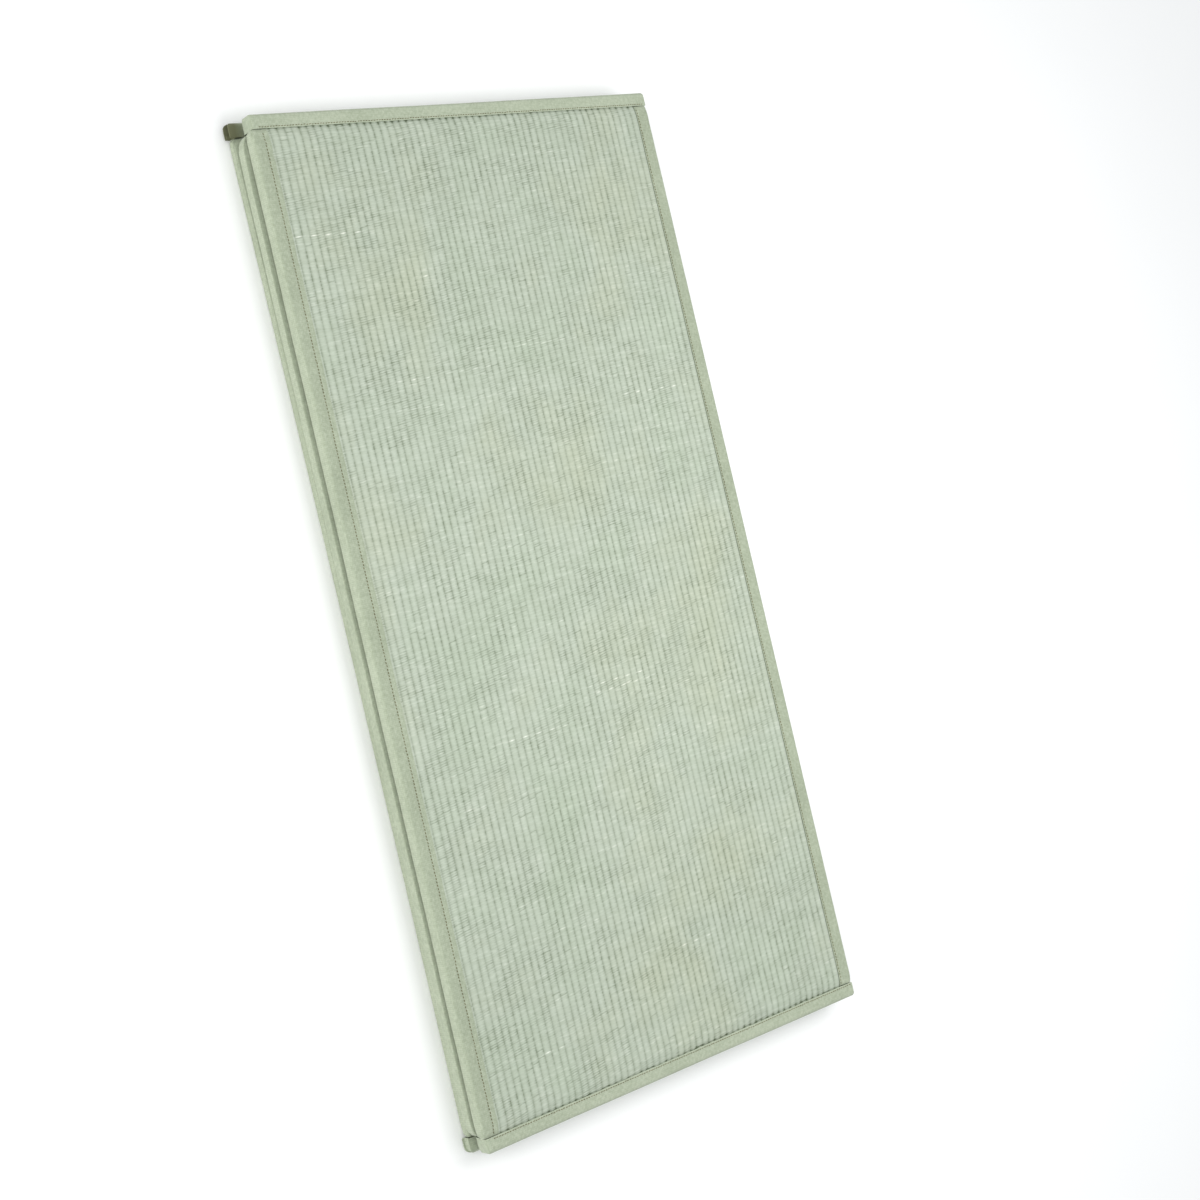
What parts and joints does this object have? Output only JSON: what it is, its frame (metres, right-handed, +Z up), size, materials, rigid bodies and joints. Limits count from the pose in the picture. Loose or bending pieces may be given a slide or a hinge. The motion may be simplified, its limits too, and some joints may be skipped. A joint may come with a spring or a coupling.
{
  "type": "folded tatami mat",
  "caption": "Rush sleeping mat folded back and forth into a flat stack, with ribbed woven faces, green cloth bands at the folds and cloth tape sewn round its edges.",
  "frame": {"origin": "under the middle of the folded mat, on the floor that it lies on", "axes": "+Z up out of the top rush face, +Y along the ribs towards the head, -X towards the fold that the picture shows"},
  "size_m": [0.7156, 1.4, 0.0552],
  "materials": {
    "rush": "woven rush, pale grey green, faint sheen",
    "tape": "close plain-woven cotton tape, sage green, matt"
  },
  "bodies": {
    "root": {"panel_top": "rush", "panel_middle": "rush", "panel_bottom": "rush", "fold_band_left": "tape", "fold_band_right": "tape", "end_tape_top": "tape", "end_tape_bottom": "tape", "side_tape_head": "tape", "side_tape_foot": "tape"}
  },
  "joints": []
}
